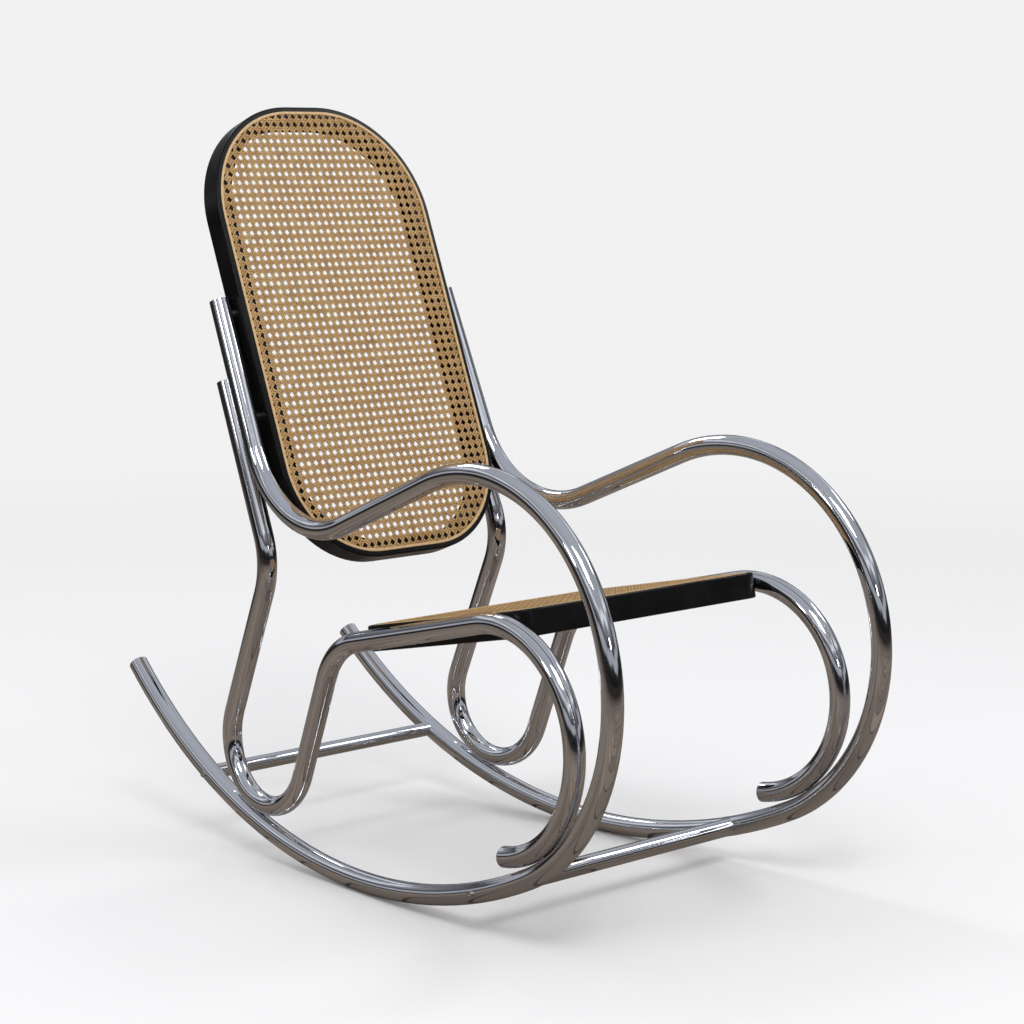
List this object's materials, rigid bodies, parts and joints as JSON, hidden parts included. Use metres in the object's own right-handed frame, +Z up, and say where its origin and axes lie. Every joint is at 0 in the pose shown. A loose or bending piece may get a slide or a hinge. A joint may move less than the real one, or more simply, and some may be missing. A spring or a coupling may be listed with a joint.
{
  "type": "rocking chair",
  "caption": "Rocking chair with looping bent chromed steel tube side frames and black wooden seat and back filled with woven cane.",
  "frame": {"origin": "middle of the chair's footprint on the floor, at the height of the floor", "axes": "+Z up, -Y towards the chair's front, +X towards the sitter's left; the chair is mirrored about X = 0"},
  "size_m": [0.5354, 1.0757, 1.0576],
  "materials": {
    "chrome_tube": "polished chrome plating with light wear",
    "chrome_caps": "polished chrome plating, slightly dulled",
    "bright_fixings": "bright zinc-plated steel",
    "plain_steel": "plain turned steel",
    "black_wood": "black lacquered beech, semi-gloss",
    "cane": "woven rattan cane, satin",
    "reed": "natural reed, satin"
  },
  "bodies": {
    "root": {"arm_cap_left": "chrome_caps", "arm_cap_right": "chrome_caps", "arm_tube_left": "chrome_tube", "arm_tube_right": "chrome_tube", "back_bolts": "bright_fixings", "back_cane": "cane", "back_frame": "black_wood", "back_spacers": "bright_fixings", "back_spline": "reed", "cradle_rivets": "plain_steel", "front_stretcher": "chrome_tube", "joint_sleeve_left": "plain_steel", "joint_sleeve_right": "plain_steel", "loop_rivets": "plain_steel", "rear_stretcher": "chrome_tube", "rocker_cap_left": "chrome_caps", "rocker_cap_right": "chrome_caps", "rocker_tube_left": "chrome_tube", "rocker_tube_right": "chrome_tube", "seat_bolts": "bright_fixings", "seat_cane": "cane", "seat_frame": "black_wood", "seat_spline": "reed", "seat_tube_front_cap_left": "chrome_caps", "seat_tube_front_cap_right": "chrome_caps", "seat_tube_left": "chrome_tube", "seat_tube_rear_cap_left": "chrome_caps", "seat_tube_rear_cap_right": "chrome_caps", "seat_tube_right": "chrome_tube", "stretcher_plugs": "plain_steel", "stretcher_screws": "bright_fixings", "upright_rivets": "plain_steel"}
  },
  "joints": []
}
